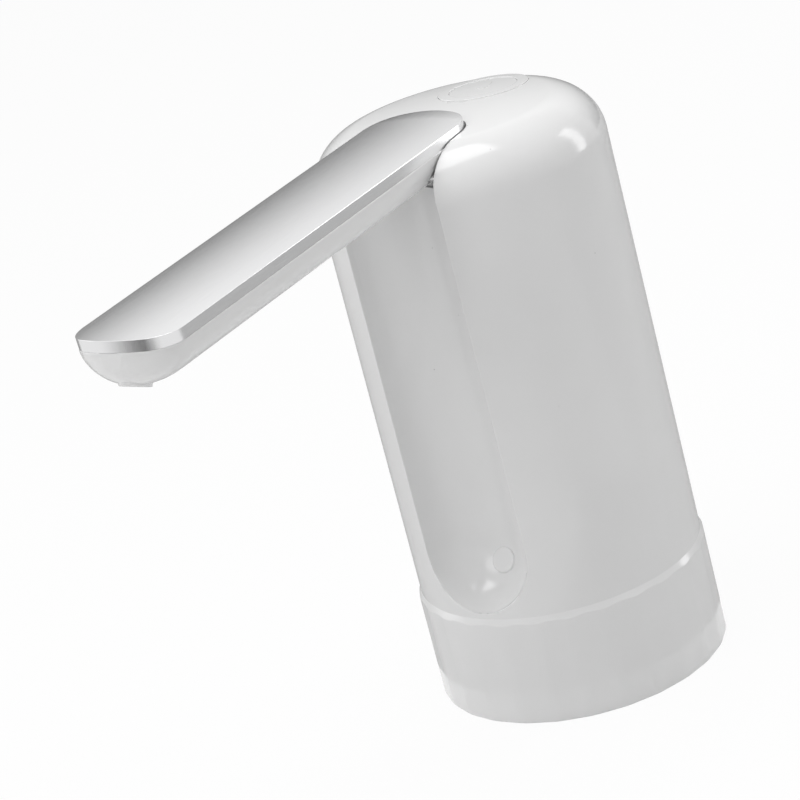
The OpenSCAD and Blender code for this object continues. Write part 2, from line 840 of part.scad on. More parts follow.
module motor_can() {
  color(metal) at_motor() difference() {
    union() {
      translate([0, 0, pump_top]) cylinder(r = motor_r, h = motor_len);
      translate([0, 0, gear_z + cavity_h + seal_h]) cylinder(r = motor_boss_r, h = motor_boss_h);
    }
    translate([0, 0, pump_top + can_floor]) cylinder(r = motor_r - can_t, h = motor_len);
    cylinder(r = shaft_r + run_gap, h = far);
    for (side = [-1, 1]) translate([side * motor_screw_x, 0, 0]) cylinder(r = motor_screw_r + run_gap, h = far);
  }
}

module motor_magnets() {
  r_out = motor_r - can_t - run_gap;
  color(dark) at_motor() translate([0, 0, pump_top + magnet_end]) difference() {
    cylinder(r = r_out, h = magnet_len);
    translate([0, 0, -1]) cylinder(r = r_out - magnet_t, h = motor_len);
    for (side = [-1, 1]) {
      translate([side * motor_r - magnet_gap / 2, -motor_r, -1]) cube([magnet_gap, 2 * motor_r, motor_len]);
    }
  }
}

module motor_end_cap() {
  color(dark) at_motor() difference() {
    union() {
      translate([0, 0, motor_top]) cylinder(r = motor_r, h = end_cap_t);
      translate([0, 0, motor_top - end_cap_t]) cylinder(r = motor_r - can_t - run_gap, h = end_cap_t + eps);
      translate([0, 0, motor_top]) cylinder(r = end_boss_r, h = end_boss_h);
      for (side = [-1, 1]) translate([side * lug_x - lug_t / 2, -lug_w / 2, motor_top]) {
        cube([lug_t, lug_w, lug_h]);
      }
    }
    translate([0, 0, motor_top - 2 * end_cap_t]) {
      cylinder(r = shaft_r + run_gap, h = 2 * end_cap_t + end_boss_h - 1);
    }
  }
}

module motor_shaft() {
  color(metal) at_motor() translate([0, 0, gear_z + gear_play]) {
    cylinder(r = shaft_r, h = motor_top + end_boss_h - 1.5 - gear_z - gear_play);
  }
}

// Three-pole rotor with its commutator
module armature() {
  r = motor_r - can_t - magnet_t - air_gap;
  rotor_top = pump_top + rotor_end + rotor_len;
  color("peru") at_motor() difference() {
    union() {
      translate([0, 0, pump_top + rotor_end]) cylinder(r = r, h = rotor_len);
      translate([0, 0, rotor_top - eps]) cylinder(r = commutator_r, h = commutator_h);
    }
    cylinder(r = shaft_r + pin_fit, h = far);
    for (a = [0:120:240]) rotate(a) {
      translate([rotor_hub_r, -rotor_slot / 2, pump_top]) cube([motor_r, rotor_slot, rotor_top - pump_top]);
    }
  }
}

// Involute flank of a pump gear: point at roll angle a on a base circle
function flank(rb, a) = rb * [cos(a) + a * PI / 180 * sin(a), sin(a) - a * PI / 180 * cos(a)];

module pump_gear(bore) {
  pitch_r = gear_gap / 2;
  pressure = 22;
  tooth_sink = 0.4;
  tooth_foot = 1.15;
  rb = pitch_r * cos(pressure);
  roll_tip = sqrt(pow(tip_r / rb, 2) - 1) * 180 / PI;
  half_pitch = 90 / gear_teeth - gear_backlash / pitch_r * 180 / PI;
  half_base = half_pitch + tan(pressure) * 180 / PI - pressure;
  steps = 4;
  right = [for (i = [0:steps]) flank(rb, roll_tip * i / steps)];
  c = cos(half_base);
  s = sin(half_base);
  turned = [for (p = right) [c * p[0] + s * p[1], c * p[1] - s * p[0]]];
  tooth = concat(
    [[root_r - tooth_sink, -tooth_foot * root_r * s]],
    turned,
    [for (i = [steps:-1:0]) [turned[i][0], -turned[i][1]]],
    [[root_r - tooth_sink, tooth_foot * root_r * s]]
  );
  linear_extrude(gear_h) difference() {
    union() {
      circle(root_r);
      for (i = [0:gear_teeth - 1]) rotate(360 * i / gear_teeth) polygon(tooth);
    }
    circle(bore);
  }
}

module drive_gear() {
  color("ivory") at_motor() translate([0, 0, gear_z + gear_play]) rotate(-90) pump_gear(shaft_r + pin_fit);
}

module idler_gear() {
  color("ivory") at_idler() translate([0, 0, gear_z + gear_play]) {
    rotate(90 + 180 / gear_teeth) pump_gear(shaft_r + run_gap);
  }
}

module delivery_hose() {
  color(rubber) tube_along(hose_route, hose_r, spigot_r + 0.25, 10);
}

// Floor of the slot: a round wall behind the hinge and a shelf below the tail
module hinge_cradle() {
  color(white) at_hinge() difference() {
    intersection() {
      union() {
        along_x(cradle_r + cradle_t, -spout_w, spout_w);
        translate([-spout_w, cradle_r, floor_z - hinge_z - cradle_t]) cube([2 * spout_w, spout_tail, cradle_t]);
      }
      translate([-spout_w, 0, cradle_z - hinge_z]) cube([2 * spout_w, 2 * spout_tail, floor_z - cradle_z]);
      translate([0, 0, -far / 2]) linear_extrude(far) spout_outline(slot_gap - 0.15);
    }
    along_x(cradle_r, -far, far);
    elbow_leg(leg_r + run_gap, 0);
  }
}

// Cylinder along the elbow's leg, from the hinge to its end and some more
module elbow_leg(r, more) {
  translate([-elbow_x, 0, 0]) rotate([-90 - leg_angle, 0, 0]) cylinder(r = r, h = leg_len + more);
}

module hinge_axle() {
  color(metal) at_hinge() difference() {
    union() {
      along_x(axle_r, -elbow_out - 0.2, knuckle_w + 0.2);
      along_x(journal_r, -ear_end + 0.2, ear_end - 0.2);
    }
    along_x(axle_bore, -elbow_x - axle_bore, axle_bore);
    for (x = [-elbow_x, 0]) translate([x, 0, 0]) {
      translate([0, 0, -axle_r - 1]) cylinder(r = port_r, h = 2 * axle_r + 2);
      rotate([90, 0, 0]) translate([0, 0, -axle_r - 1]) cylinder(r = port_r, h = 2 * axle_r + 2);
    }
  }
}

module swivel_elbow() {
  color(white) at_hinge() difference() {
    union() {
      along_x(elbow_r, -elbow_out, -elbow_in);
      elbow_leg(leg_r, 0);
    }
    along_x(axle_r + run_gap, -elbow_out - 1, -elbow_in + 1);
    along_x(chamber_r, -elbow_x - port_r, -elbow_x + port_r);
    elbow_leg(leg_bore, 1);
  }
}

// Crowned metal cover with a plain rim, hollow below
module spout_cover() {
  color(metal) spout_place() difference() {
    intersection() {
      translate([0, 0, cover_low]) linear_extrude(cover_h + cover_sag + 1) spout_outline(0);
      translate([0, 0, hinge_drop + cover_sag - cover_crown_r]) rotate([90, 0, 0]) {
        cylinder(r = cover_crown_r, h = 2 * far, center = true, $fn = 720);
      }
    }
    translate([0, 0, cover_low - 1]) linear_extrude(cover_h + 1 - cover_plate) spout_outline(-cover_t);
  }
}

// Half width of the spout's outline at a distance u from the hinge
function outline_half(u, grow) =
  let (
    uc = spout_reach - corner_back, ua = spout_reach - end_r, ut = ua + (end_r + grow) * cos(arc_angle)
  )
  u <= uc ? spout_half + grow :
  u < ut ? corner_x + sqrt(pow(corner_r + grow, 2) - pow(u - uc, 2)) :
  sqrt(max(0, pow(end_r + grow, 2) - pow(u - ua, 2)));
// Depth of the shell there, which runs out to nothing at the tip
function bow(f) = f >= 1 ? 1 : pow(1 - pow(1 - f, bow_power), 1 / bow_power);
function shell_drop(u, grow) = (shell_depth + grow) * bow((spout_reach + grow - u) / (bow_len + grow));
// Half-round section, with its two edges raised by lift
function shell_section(u, grow, lift) =
  let (w = outline_half(u, grow), d = shell_drop(u, grow), n = shell_sides)
  concat(
    lift > 0 ? [[w, -u, cover_low + lift]] : [],
    [for (k = [0:n]) [w * cos(180 * k / n), -u, cover_low - d * sin(180 * k / n)]],
    lift > 0 ? [[-w, -u, cover_low + lift]] : []
  );

// Solid loft from the start to the tip, with stations closer together towards the tip
module shell_loft(start, grow, lift) {
  n = shell_stations;
  end = spout_reach + grow - tip_flat;
  stations = [for (i = [0:n]) end - (end - start) * pow(1 - i / n, 1.8)];
  points = [for (u = stations) each shell_section(u, grow, lift)];
  sides = len(points) / (n + 1);
  polyhedron(points, concat(
    skin_faces(n + 1, sides, 0),
    [[for (k = [sides - 1:-1:0]) k]],
    [[for (k = [0:sides - 1]) n * sides + k]]
  ));
}

// Moulded lower half of the spout, cut clear of the knuckle and of the elbow's leg
module spout_shell() {
  color(white) spout_place() difference() {
    shell_loft(shell_start, 0, 0);
    shell_loft(shell_start - 1, -shell_t, 1);
    translate([0, -nozzle_y, -far / 2]) cylinder(r = nozzle_r + run_gap, h = far);
    along_x(knuckle_r + 0.4, -knuckle_w - 0.3, knuckle_w + 0.3);
    translate([-elbow_out - 0.3, -leg_clear, -far / 2]) cube([elbow_out - knuckle_w + 0.1, leg_clear, far]);
  }
}

// Hinge lug with a water chamber, a tongue inside the shell and a plate below the tail
module spout_knuckle() {
  color(white) spout_place() difference() {
    union() {
      along_x(knuckle_r, -knuckle_w, knuckle_w);
      translate([-tongue_half, -tongue_len, tongue_z]) {
        cube([2 * tongue_half, tongue_len, cover_low - tongue_z - 0.3]);
      }
      translate([0, 0, tube_z]) rotate([90, 0, 0]) cylinder(r = tube_bore - run_gap, h = tongue_len + barb_len);
      difference() {
        translate([0, 0, cover_low - tail_t]) linear_extrude(tail_t) intersection() {
          spout_outline(-0.3);
          translate([-far, -shell_start + 0.4]) square(2 * far);
        }
        along_x(knuckle_r, -far, -knuckle_w);
        along_x(journal_r + 0.5, knuckle_w, far);
      }
    }
    along_x(axle_r + run_gap, -knuckle_w - 1, knuckle_w + 1);
    along_x(chamber_r, -port_r, port_r);
    for (side = [-1, 1]) {
      along_x(ring_mid + ring_r + run_gap, side * ring_x - ring_r - 0.1, side * ring_x + ring_r + 0.1);
    }
    translate([0, 0, tube_z]) rotate([90, 0, 0]) cylinder(r = water_r, h = far);
  }
}

module knuckle_o_rings() {
  color("black") spout_place() for (side = [-1, 1]) {
    translate([side * ring_x, 0, 0]) rotate([0, 90, 0]) rotate_extrude() {
      translate([ring_mid, 0]) circle(ring_r);
    }
  }
}

module spout_tube() {
  color(rubber) spout_place() translate([0, 0, tube_z]) rotate([90, 0, 0]) difference() {
    translate([0, 0, tongue_len + 0.2]) cylinder(r = tube_r, h = nozzle_y - nozzle_r - tongue_len - 0.4);
    cylinder(r = tube_bore, h = far);
  }
}

module spout_nozzle() {
  color(white) spout_place() difference() {
    union() {
      translate([0, -nozzle_y, nozzle_z]) cylinder(r = nozzle_r, h = nozzle_h);
      translate([0, -nozzle_y, tube_z]) rotate([-90, 0, 0]) {
        cylinder(r = tube_bore - run_gap, h = nozzle_r + barb_len);
      }
    }
    translate([0, -nozzle_y, nozzle_z - 1]) cylinder(r = nozzle_bore, h = nozzle_h);
    translate([0, -nozzle_y, tube_z]) rotate([-90, 0, 0]) cylinder(r = water_r, h = far);
  }
}

main_housing();
base_skirt();
neck_seal();
inlet_nipple();
suction_sleeve();
chassis();
skirt_screws();
battery_cell();
battery_holder();
main_board();
usb_socket();
switch_board();
tact_switch();
board_screws();
button_bezel();
groove_pad();
pump_cover();
pump_gasket();
pump_housing();
pump_screws();
motor_screws();
shaft_seal();
idler_pin();
motor_can();
motor_magnets();
motor_end_cap();
delivery_hose();
hinge_cradle();
hinge_axle();
swivel_elbow();
spout_cover();
spout_shell();
spout_knuckle();
knuckle_o_rings();
spout_tube();
spout_nozzle();
power_button();
switch_plunger();
motor_shaft();
armature();
drive_gear();
idler_gear();
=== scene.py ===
import json
import math

import bmesh
import bpy
from mathutils import Matrix, Vector


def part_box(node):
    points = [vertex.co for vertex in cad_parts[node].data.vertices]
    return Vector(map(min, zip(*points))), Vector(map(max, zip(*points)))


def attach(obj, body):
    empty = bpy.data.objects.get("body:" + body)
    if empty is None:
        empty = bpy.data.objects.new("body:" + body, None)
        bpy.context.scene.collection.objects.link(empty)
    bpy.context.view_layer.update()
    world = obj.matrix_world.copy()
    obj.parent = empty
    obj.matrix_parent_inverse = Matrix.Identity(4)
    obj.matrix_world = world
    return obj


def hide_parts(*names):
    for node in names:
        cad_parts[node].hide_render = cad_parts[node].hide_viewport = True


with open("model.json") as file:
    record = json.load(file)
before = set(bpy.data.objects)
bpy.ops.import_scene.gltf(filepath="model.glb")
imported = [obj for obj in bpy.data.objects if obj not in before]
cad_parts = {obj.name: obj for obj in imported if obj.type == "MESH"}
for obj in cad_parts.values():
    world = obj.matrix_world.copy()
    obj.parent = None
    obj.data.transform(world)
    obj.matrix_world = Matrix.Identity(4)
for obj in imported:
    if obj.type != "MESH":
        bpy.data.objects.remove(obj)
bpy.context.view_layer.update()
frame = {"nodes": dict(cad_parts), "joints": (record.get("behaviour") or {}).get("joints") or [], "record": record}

# Neck skirt: the many-sided foot that goes over the neck of the jug.
# Injection-moulded in glossy white plastic, with a chamfer that runs into scallops on the flats.
# A deck across the inside carries the hose nipple, and three screws go up through it.
mm = 0.001
skirt_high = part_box("base_skirt")[1]
housing_low, housing_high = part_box("main_housing")
seal_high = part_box("neck_seal")[1]
skirt_r = skirt_high.x
skirt_h = skirt_high.z
body_r = housing_high.x
skirt_flats = 26
skirt_chamfer = 1.9 * mm
flat_round = 1.6 * mm
chamfer_round = 0.18 * mm
foot_round = 0.6 * mm
socket_r = seal_high.x + 0.05 * mm
deck_z = 23 * mm
deck_top = 27 * mm
plate_seat_r = 33.05 * mm
collar_hole_r = 4.55 * mm
screw_ring = 30 * mm
screw_angles = (90, 210, 330)
screw_hole_r = 1.6 * mm
screw_head_r = 3.1 * mm
screw_head_z = 25 * mm
bar_steps = 62


def arc(centre, radius, start, end, steps):
    """Points along an arc in a plane, between two angles in degrees."""
    turns = [math.radians(start + (end - start) * i / steps) for i in range(steps + 1)]
    return [(centre[0] + radius * math.cos(t), centre[1] + radius * math.sin(t)) for t in turns]


def draw_line(name, points):
    """A new object in edit mode, with one line drawn through the points."""
    bpy.ops.object.select_all(action="DESELECT")
    bpy.ops.mesh.primitive_plane_add(size=mm)
    piece = bpy.context.object
    piece.name = name
    piece.data.name = name
    bpy.ops.object.mode_set(mode="EDIT")
    bpy.ops.mesh.select_mode(type="VERT")
    bpy.ops.mesh.merge(type="CENTER")
    bpy.ops.transform.translate(value=points[0])
    for here, there in zip(points, points[1:]):
        step = Vector(there) - Vector(here)
        bpy.ops.mesh.extrude_region_move(TRANSFORM_OT_translate={"value": step})
    bpy.ops.mesh.select_all(action="SELECT")
    return piece


def close_mesh():
    """Merges doubled points, turns all faces outwards and leaves edit mode."""
    bpy.ops.mesh.select_all(action="SELECT")
    bpy.ops.mesh.remove_doubles(threshold=0.002 * mm)
    bpy.ops.mesh.normals_make_consistent(inside=False)
    bpy.ops.object.mode_set(mode="OBJECT")


def turned(name, profile, steps, centre=(0, 0)):
    """A body of revolution about an upright axis, from radius and height pairs."""
    piece = draw_line(name, [(centre[0] + r, centre[1], z) for r, z in profile])
    bpy.ops.mesh.spin(steps=steps, angle=2 * math.pi, center=(*centre, 0), axis=(0, 0, 1))
    close_mesh()
    return piece


def round_bar(name, radius, low, high, centre=(0, 0)):
    """An upright round bar between two heights."""
    return turned(name, [(0, low), (radius, low), (radius, high), (0, high)], bar_steps, centre)


def slab(name, outline, low, high):
    """An upright prism over an outline of x and y pairs."""
    piece = draw_line(name, [(x, y, low) for x, y in outline])
    bpy.ops.mesh.edge_face_add()
    bpy.ops.mesh.extrude_region_move(TRANSFORM_OT_translate={"value": (0, 0, high - low)})
    close_mesh()
    return piece


def edit(piece):
    """Opens one piece in edit mode, with nothing selected, and gives its mesh."""
    bpy.ops.object.select_all(action="DESELECT")
    bpy.context.view_layer.objects.active = piece
    piece.select_set(True)
    bpy.ops.object.mode_set(mode="EDIT")
    bpy.ops.mesh.select_mode(type="EDGE")
    bpy.ops.mesh.select_all(action="DESELECT")
    return bmesh.from_edit_mesh(piece.data)


def combine(piece, other, operation="DIFFERENCE"):
    """Cuts another object out of a piece, adds it, or keeps what both share, and removes it."""
    step = piece.modifiers.new("cut", "BOOLEAN")
    step.operation = operation
    step.object = other
    step.solver = "MANIFOLD"
    bpy.context.view_layer.objects.active = piece
    bpy.ops.object.modifier_apply(modifier=step.name)
    piece.data.materials.clear()
    bpy.data.objects.remove(other)
    edit(piece)
    close_mesh()


def round_edges(piece, wanted, width, segments, least=25, upright=False, material=-1):
    """Rounds the edges that the test asks for and that turn by at least some degrees."""
    mesh = edit(piece)
    for edge in mesh.edges:
        creased = len(edge.link_faces) == 2 and edge.calc_face_angle(0) > math.radians(least)
        rises = abs(edge.verts[0].co.z - edge.verts[1].co.z) > 0.9 * edge.calc_length()
        if creased and all(wanted(v.co) for v in edge.verts) and (rises or not upright):
            edge.select_set(True)
    bmesh.update_edit_mesh(piece.data)
    bpy.ops.mesh.bevel(
        offset=width, segments=segments, affect="EDGES", clamp_overlap=False, material=material
    )
    bpy.ops.object.mode_set(mode="OBJECT")


def smooth(piece, angle=35):
    """Smooth shading that keeps hard edges, with the large faces leading."""
    bpy.ops.object.select_all(action="DESELECT")
    bpy.context.view_layer.objects.active = piece
    piece.select_set(True)
    bpy.ops.object.shade_smooth_by_angle(angle=math.radians(angle))
    step = piece.modifiers.new("normals", "WEIGHTED_NORMAL")
    step.keep_sharp = True
    bpy.ops.object.modifier_apply(modifier=step.name)


def new_finish(name):
    """A new material, with its node tree and its shader."""
    material = bpy.data.materials.new(name)
    material.use_nodes = True
    return material, material.node_tree, material.node_tree.nodes["Principled BSDF"]


def grain(tree, scale, stretch=(1, 1, 1), detail=2):
    """Noise in the piece's own coordinates, with so many grains to the metre."""
    place = tree.nodes.new("ShaderNodeTexCoord")
    draw_out = tree.nodes.new("ShaderNodeMapping")
    draw_out.inputs["Scale"].default_value = stretch
    cloud = tree.nodes.new("ShaderNodeTexNoise")
    cloud.inputs["Scale"].default_value = scale
    cloud.inputs["Detail"].default_value = detail
    tree.links.new(place.outputs["Object"], draw_out.inputs["Vector"])
    tree.links.new(draw_out.outputs["Vector"], cloud.inputs["Vector"])
    return cloud.outputs["Fac"]


def span(tree, value, low, high):
    """Spreads the middle of a noise between two numbers."""
    node = tree.nodes.new("ShaderNodeMapRange")
    node.inputs["From Min"].default_value = 0.3
    node.inputs["From Max"].default_value = 0.7
    node.inputs["To Min"].default_value = low
    node.inputs["To Max"].default_value = high
    tree.links.new(value, node.inputs["Value"])
    return node.outputs["Result"]


def shades(tree, value, dark, light):
    """Spreads the middle of a noise between two colours."""
    ramp = tree.nodes.new("ShaderNodeValToRGB")
    ramp.color_ramp.elements[0].position = 0.3
    ramp.color_ramp.elements[0].color = (*dark, 1)
    ramp.color_ramp.elements[1].position = 0.7
    ramp.color_ramp.elements[1].color = (*light, 1)
    tree.links.new(value, ramp.inputs["Fac"])
    return ramp.outputs["Color"]


def relief(tree, shader, value, depth, strength):
    """Fine bumps of some depth from a noise."""
    bump = tree.nodes.new("ShaderNodeBump")
    bump.inputs["Distance"].default_value = depth
    bump.inputs["Strength"].default_value = strength
    tree.links.new(value, bump.inputs["Height"])
    tree.links.new(bump.outputs["Normal"], shader.inputs["Normal"])


def specks(tree, colour, spot, scale, size):
    """Sparse small dust spots over a colour."""
    place = tree.nodes.new("ShaderNodeTexCoord")
    cells = tree.nodes.new("ShaderNodeTexVoronoi")
    cells.inputs["Scale"].default_value = scale
    near = tree.nodes.new("ShaderNodeMath")
    near.operation = "LESS_THAN"
    near.inputs[1].default_value = size
    mix = tree.nodes.new("ShaderNodeMix")
    mix.data_type = "RGBA"
    mix.inputs["B"].default_value = (*spot, 1)
    tree.links.new(place.outputs["Object"], cells.inputs["Vector"])
    tree.links.new(cells.outputs["Distance"], near.inputs[0])
    tree.links.new(near.outputs["Value"], mix.inputs["Factor"])
    tree.links.new(colour, mix.inputs["A"])
    return mix.outputs["Result"]


def moulded_white(name, tone, rough, ripple):
    """Moulded white plastic: faint clouds in the colour, a few dust spots and a slight ripple."""
    material, tree, shader = new_finish(name)
    clouds = grain(tree, 45)
    dark = [0.985 * c for c in tone]
    colour = specks(tree, shades(tree, clouds, dark, tone), dust, 110, 0.018)
    tree.links.new(colour, shader.inputs["Base Color"])
    gloss = span(tree, grain(tree, 160), rough - 0.03, rough + 0.03)
    tree.links.new(gloss, shader.inputs["Roughness"])
    relief(tree, shader, grain(tree, 420), ripple, 0.1)
    return material


def flats_outline():
    """The skirt seen from above, as a regular polygon with a corner on +X."""
    return arc((0, 0), skirt_r, 0, 360 - 360 / skirt_flats, skirt_flats - 1)


white = (0.82, 0.82, 0.82)
dust = (0.6, 0.6, 0.6)
white_gloss = moulded_white("glossy white plastic", white, 0.13, 0.008 * mm)
white_plain = moulded_white("plain white plastic", white, 0.25, 0.01 * mm)
skirt = slab("skirt", flats_outline(), 0, skirt_h)
round_edges(skirt, lambda p: True, flat_round, 3, least=8, upright=True)
past_edge = skirt_chamfer * mm / (skirt_r - body_r)
chamfer_line = [(0, -mm), (skirt_r + mm, -mm), (skirt_r + mm, skirt_h - skirt_chamfer - past_edge)]
chamfer_line += [(body_r, skirt_h), (0, skirt_h)]
combine(skirt, turned("chamfer", chamfer_line, skirt_flats * 6), "INTERSECT")
edge_low = skirt_h - 1.5 * skirt_chamfer
round_edges(skirt, lambda p: edge_low < p.z < skirt_h - 0.1 * mm, chamfer_round, 2, least=14)
round_edges(skirt, lambda p: p.z < 0.1 * mm, foot_round, 4)
combine(skirt, round_bar("socket", socket_r, -mm, deck_z))
combine(skirt, round_bar("plate_seat", plate_seat_r, deck_top, skirt_h + mm))
combine(skirt, round_bar("collar_hole", collar_hole_r, 0, skirt_h))
for angle in screw_angles:
    place = arc((0, 0), screw_ring, angle, angle, 1)[0]
    combine(skirt, round_bar("screw_hole", screw_hole_r, deck_z - mm, skirt_h, place))
    combine(skirt, round_bar("screw_head", screw_head_r, deck_z - mm, screw_head_z, place))
smooth(skirt, 30)
skirt.data.materials.append(white_gloss)
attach(skirt, "body")
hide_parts("base_skirt")

# Inner works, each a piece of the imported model: nipple, hoses, pump, motor, cell, boards, screws.
# They sit inside the closed body, so their shapes stay as packed and only get their finishes:
# bright steel, dark and white mouldings, rubber, lacquered boards, sleeved cell, windings.


def soft_rubber(name, dark, light, rough):
    """Soft rubber with a dull, slightly uneven skin."""
    material, tree, shader = new_finish(name)
    colour = shades(tree, grain(tree, 90, detail=4), dark, light)
    gloss = span(tree, grain(tree, 300), rough - 0.06, rough + 0.06)
    tree.links.new(colour, shader.inputs["Base Color"])
    tree.links.new(gloss, shader.inputs["Roughness"])
    relief(tree, shader, grain(tree, 1500), 0.02 * mm, 0.3)
    return material


def drawn_metal(name, dark, light, rough, stretch):
    """Metal with fine marks drawn out along its working direction."""
    material, tree, shader = new_finish(name)
    shader.inputs["Metallic"].default_value = 1.0
    marks = grain(tree, 6000, stretch, 3)
    tree.links.new(shades(tree, marks, dark, light), shader.inputs["Base Color"])
    tree.links.new(span(tree, marks, rough - 0.03, rough + 0.03), shader.inputs["Roughness"])
    relief(tree, shader, marks, 0.001 * mm, 0.15)
    return material


def dull_plastic(name, dark, light, rough):
    """Plain moulded or lacquered plastic with a fine grain."""
    material, tree, shader = new_finish(name)
    colour = shades(tree, grain(tree, 120, detail=3), dark, light)
    gloss = span(tree, grain(tree, 400), rough - 0.05, rough + 0.05)
    tree.links.new(colour, shader.inputs["Base Color"])
    tree.links.new(gloss, shader.inputs["Roughness"])
    relief(tree, shader, grain(tree, 2200), 0.015 * mm, 0.3)
    return material


along_x, along_y, along_z = (0.1, 1, 1), (1, 0.02, 1), (1, 1, 0.1)
satin_dark, satin_light = (0.755, 0.755, 0.76), (0.785, 0.785, 0.79)
wire_dark, wire_light = (0.5, 0.22, 0.09), (0.68, 0.36, 0.18)
spout_metal = drawn_metal("satin spout metal", satin_dark, satin_light, 0.2, along_y)
finishes = {
    "white_gloss": white_gloss,
    "white_plain": white_plain,
    "spout_metal": spout_metal,
    "soft_grey": soft_rubber("soft grey silicone", (0.62, 0.62, 0.62), (0.7, 0.7, 0.7), 0.55),
    "black_rubber": soft_rubber("black rubber", (0.02, 0.02, 0.02), (0.04, 0.04, 0.04), 0.6),
    "steel": drawn_metal("bright steel", (0.5, 0.5, 0.5), (0.66, 0.66, 0.66), 0.28, along_z),
    "dark_plastic": dull_plastic("dark plastic", (0.04, 0.04, 0.045), (0.06, 0.06, 0.065), 0.45),
    "magnet_grey": dull_plastic("pressed ferrite", (0.08, 0.08, 0.09), (0.13, 0.13, 0.14), 0.6),
    "board_green": dull_plastic("lacquered board", (0.02, 0.15, 0.055), (0.04, 0.21, 0.085), 0.3),
    "cell_green": dull_plastic("shrink sleeve", (0.05, 0.28, 0.19), (0.07, 0.36, 0.25), 0.25),
    "copper_winding": drawn_metal("enamelled wire", wire_dark, wire_light, 0.3, along_x),
}
for row in frame["record"]["subparts"]:
    node = frame["nodes"][row["node"]]
    node.data.materials.clear()
    node.data.materials.append(finishes[row["material_slot"]])

# Body housing: the domed upper shell, with the groove that the spout folds into.
# Injection-moulded white plastic with a glossy skin. It stands on the neck skirt
# and is held by screws from below.
body_top = housing_high.z
seat_z = housing_low.z
crown_r = 278 * mm
shoulder_r = 12.4 * mm
wall = 2.2 * mm
shoulder_x = body_r - shoulder_r
crown_z = body_top - crown_r
shoulder_z = crown_z + math.sqrt((crown_r - shoulder_r) ** 2 - shoulder_x ** 2)
crown_angle = math.degrees(math.atan2(shoulder_x, shoulder_z - crown_z))

groove_r = 14.5 * mm
groove_y = 34.7 * mm
groove_z = seat_z + 1.4 * mm + groove_r
groove_steps = 120
rim_round = 0.32 * mm
rim_merge = 0.25 * mm
slot_round = 0.1 * mm
rear_round = 0.05 * mm
dome_steps = 200

hinge = Vector(next(j for j in frame["joints"] if j["name"] == "spout_fold")["pos_m"])
spout_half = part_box("spout_cover")[1].x
spout_reach = 105.02 * mm
spout_tail = 20.45 * mm
end_r = 23 * mm
corner_r = 8.5 * mm
corner_x = spout_half - corner_r
corner_y = math.sqrt((end_r - corner_r) ** 2 - corner_x ** 2)
end_angle = math.degrees(math.atan2(corner_x, corner_y))
slot_gap = 0.34 * mm
slot_z = hinge.z - 5 * mm
slot_wall_z = slot_z - 1.7 * mm

button_low, button_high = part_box("power_button")
bezel_low, bezel_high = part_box("button_bezel")
button_y = (bezel_low.y + bezel_high.y) / 2
bezel_r = bezel_high.x
bezel_z = bezel_low.z
bezel_fit = 0.05 * mm
button_flange_r = button_high.x
button_hole_r = button_flange_r + 0.3 * mm
button_boss_r = bezel_r + 1.6 * mm
button_boss_z = bezel_z - 3.2 * mm
above = body_top + 20 * mm
below = seat_z - 8 * mm
port_z = 62 * mm
port_wide = 9.44 * mm
port_high = 3.7 * mm


def dome_profile(inset):
    """Radius and height along the body's outside, moved inwards, from the top to the side."""
    crown = arc((0, crown_z), crown_r - inset, 90, 90 - crown_angle, 8)
    shoulder = arc((shoulder_x, shoulder_z), shoulder_r - inset, 90 - crown_angle, 0, 20)
    return crown + shoulder[1:]


def dome(name, inset, low):
    """The domed body as a solid, moved inwards, down to some height."""
    return turned(name, dome_profile(inset) + [(body_r - inset, low), (0, low)], dome_steps)


def skin_gap(p):
    """Distance of a point from the body's outside."""
    r = math.hypot(p.x, p.y)
    if p.z < shoulder_z:
        return r - body_r
    if r * (shoulder_z - crown_z) < shoulder_x * (p.z - crown_z):
        return math.hypot(r, p.z - crown_z) - crown_r
    return math.hypot(r - shoulder_x, p.z - shoulder_z) - shoulder_r


def spout_end(grow):
    """One end of the spout seen from above: a shallow arc with a round corner on each side."""
    right = arc((corner_x, corner_y), corner_r + grow, 0, 90 - end_angle, 16)
    middle = arc((0, 0), end_r + grow, 90 - end_angle, 90 + end_angle, 24)
    left = arc((-corner_x, corner_y), corner_r + grow, 90 + end_angle, 180, 16)
    return right + middle[1:] + left[1:]


def spout_outline(grow):
    """The spout seen from above, with the hinge at the origin and the tip towards -Y."""
    tail = [(x, y + spout_tail - end_r) for x, y in spout_end(grow)]
    tip = [(-x, end_r - spout_reach - y) for x, y in spout_end(grow)]
    return tail + tip


def over_hinge(outline):
    """Moves an outline from the hinge to its place on the body."""
    return [(x + hinge.x, y + hinge.y) for x, y in outline]


def capsule(name, radius):
    """The groove as a solid: a round bar with a ball end."""
    ball = arc((0, groove_z), radius, -90, 0, 20)
    return turned(name, ball + [(radius, above), (0, above)], groove_steps, (0, -groove_y))


def tidy_rim(piece, wanted, least):
    """Merges the points along a rim that lie too close together for a clean rounding."""
    mesh = edit(piece)
    bpy.ops.mesh.select_mode(type="VERT")
    for edge in mesh.edges:
        sharp = len(edge.link_faces) == 2 and edge.calc_face_angle(0) > math.radians(25)
        if sharp and all(wanted(v.co) for v in edge.verts):
            edge.verts[0].select = True
            edge.verts[1].select = True
    bmesh.update_edit_mesh(piece.data)
    bpy.ops.mesh.remove_doubles(threshold=least)
    bpy.ops.object.mode_set(mode="OBJECT")


def set_down(piece, tilt, place):
    """Turns a piece about X, moves it to its place and writes both into its mesh."""
    bpy.ops.object.select_all(action="DESELECT")
    bpy.context.view_layer.objects.active = piece
    piece.select_set(True)
    piece.rotation_euler.x = math.radians(tilt)
    piece.location = place
    bpy.ops.object.transform_apply(location=True, rotation=True, scale=True)


